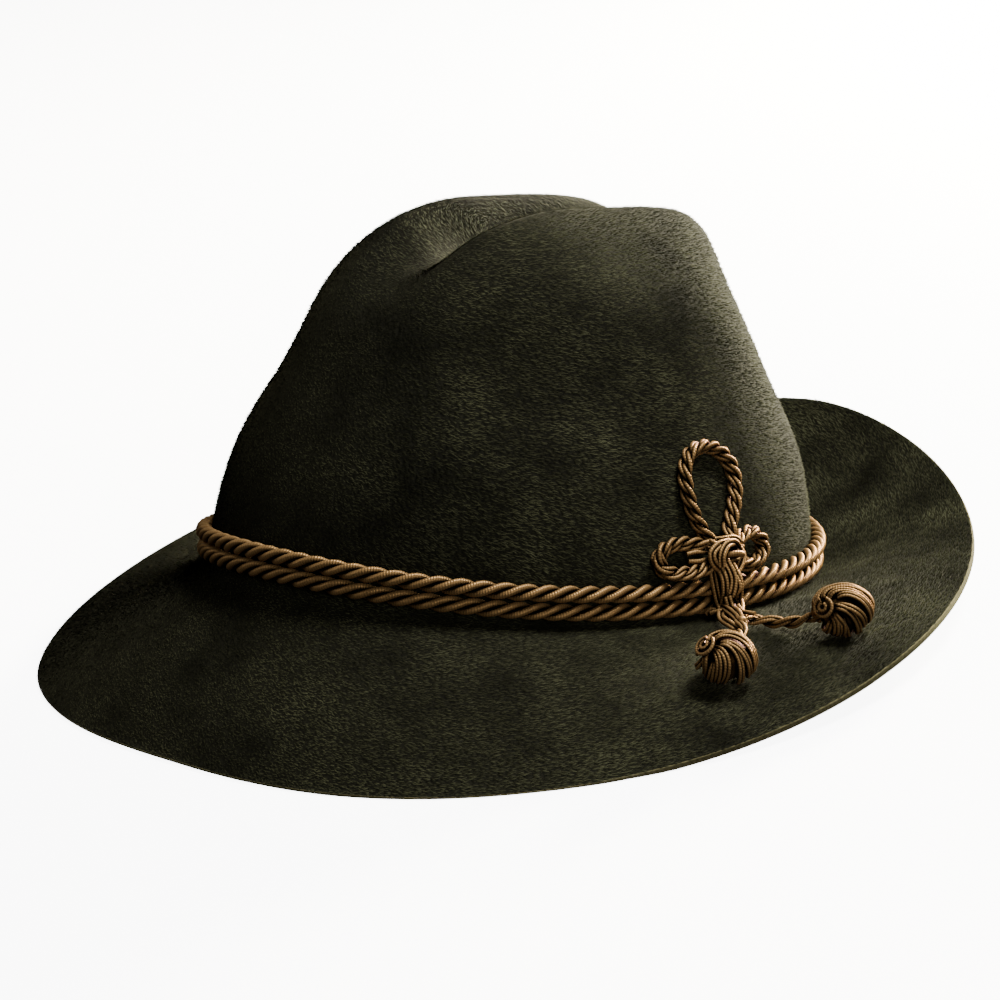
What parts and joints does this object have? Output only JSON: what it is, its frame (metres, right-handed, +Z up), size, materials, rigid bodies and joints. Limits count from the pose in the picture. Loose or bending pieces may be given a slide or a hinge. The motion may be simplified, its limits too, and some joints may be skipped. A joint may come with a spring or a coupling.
{
  "type": "hunting hat",
  "caption": "Alpine felt hat with a creased crown, a brim snapped down in front and turned up at the back, a twisted cord band and a knotted cord with two knob-ended tails.",
  "frame": {"origin": "on the floor under the centre of the hat's own box", "axes": "+Z up off the floor the brim rests on, -Y to the front of the hat, +X to the wearer's left, where the knot is"},
  "size_m": [0.3006, 0.297, 0.1331],
  "materials": {
    "felt": "brushed velour felt, matte, very dark olive green",
    "cord": "satin twisted cord, bronze brown"
  },
  "bodies": {
    "root": {"felt_body": "felt", "cord_band_lower": "cord", "cord_band_upper": "cord", "knot_loop_top": "cord", "knot_loop_front": "cord", "knot_loop_back": "cord", "knot_heart": "cord", "knot_stem": "cord", "tail_cord_front": "cord", "tail_cord_back": "cord", "tail_knob_front": "cord", "tail_knob_back": "cord"}
  },
  "joints": []
}
